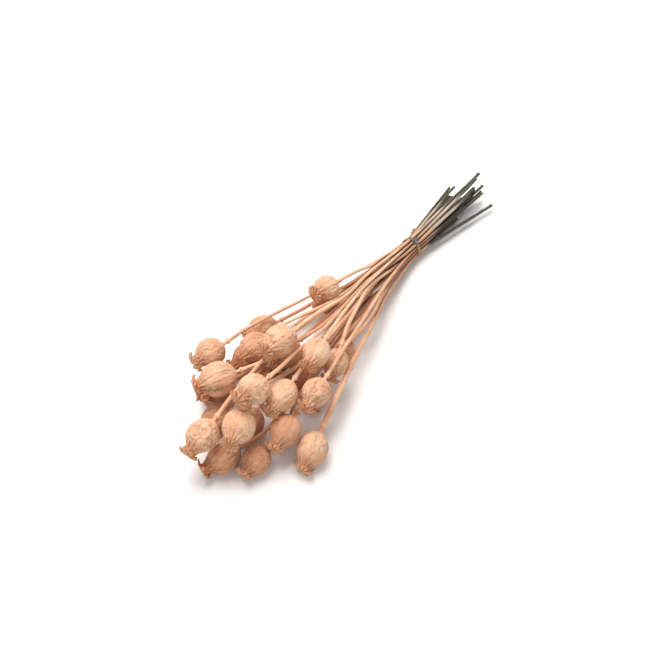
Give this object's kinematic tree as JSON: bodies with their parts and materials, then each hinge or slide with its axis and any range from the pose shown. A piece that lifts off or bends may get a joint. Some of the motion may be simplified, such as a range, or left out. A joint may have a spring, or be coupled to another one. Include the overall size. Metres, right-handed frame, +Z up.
{
  "type": "poppy seed head bunch",
  "caption": "Dried, dyed poppy seed heads on long stems, held near the cut ends by a wound rubber band and lying as one bunch.",
  "frame": {"origin": "middle of the bunch's footprint, on the surface that it lies on", "axes": "+X along the stems from the seed heads to the cut ends, +Z up from the surface"},
  "size_m": [0.5792, 0.205, 0.1037],
  "materials": {
    "dyed_poppy": "matt, dyed peach, bare grey-green at the cut ends",
    "band_rubber": "satin"
  },
  "bodies": {
    "root": {"poppy_01": "dyed_poppy", "poppy_02": "dyed_poppy", "poppy_03": "dyed_poppy", "poppy_04": "dyed_poppy", "poppy_05": "dyed_poppy", "poppy_06": "dyed_poppy", "poppy_07": "dyed_poppy", "poppy_08": "dyed_poppy", "poppy_09": "dyed_poppy", "poppy_10": "dyed_poppy", "poppy_11": "dyed_poppy", "poppy_12": "dyed_poppy", "poppy_13": "dyed_poppy", "poppy_14": "dyed_poppy", "poppy_15": "dyed_poppy", "poppy_16": "dyed_poppy", "poppy_17": "dyed_poppy", "poppy_18": "dyed_poppy", "poppy_19": "dyed_poppy", "poppy_20": "dyed_poppy", "poppy_21": "dyed_poppy", "poppy_22": "dyed_poppy", "poppy_23": "dyed_poppy", "poppy_24": "dyed_poppy", "poppy_25": "dyed_poppy", "poppy_26": "dyed_poppy", "poppy_27": "dyed_poppy", "tie_band": "band_rubber"}
  },
  "joints": []
}
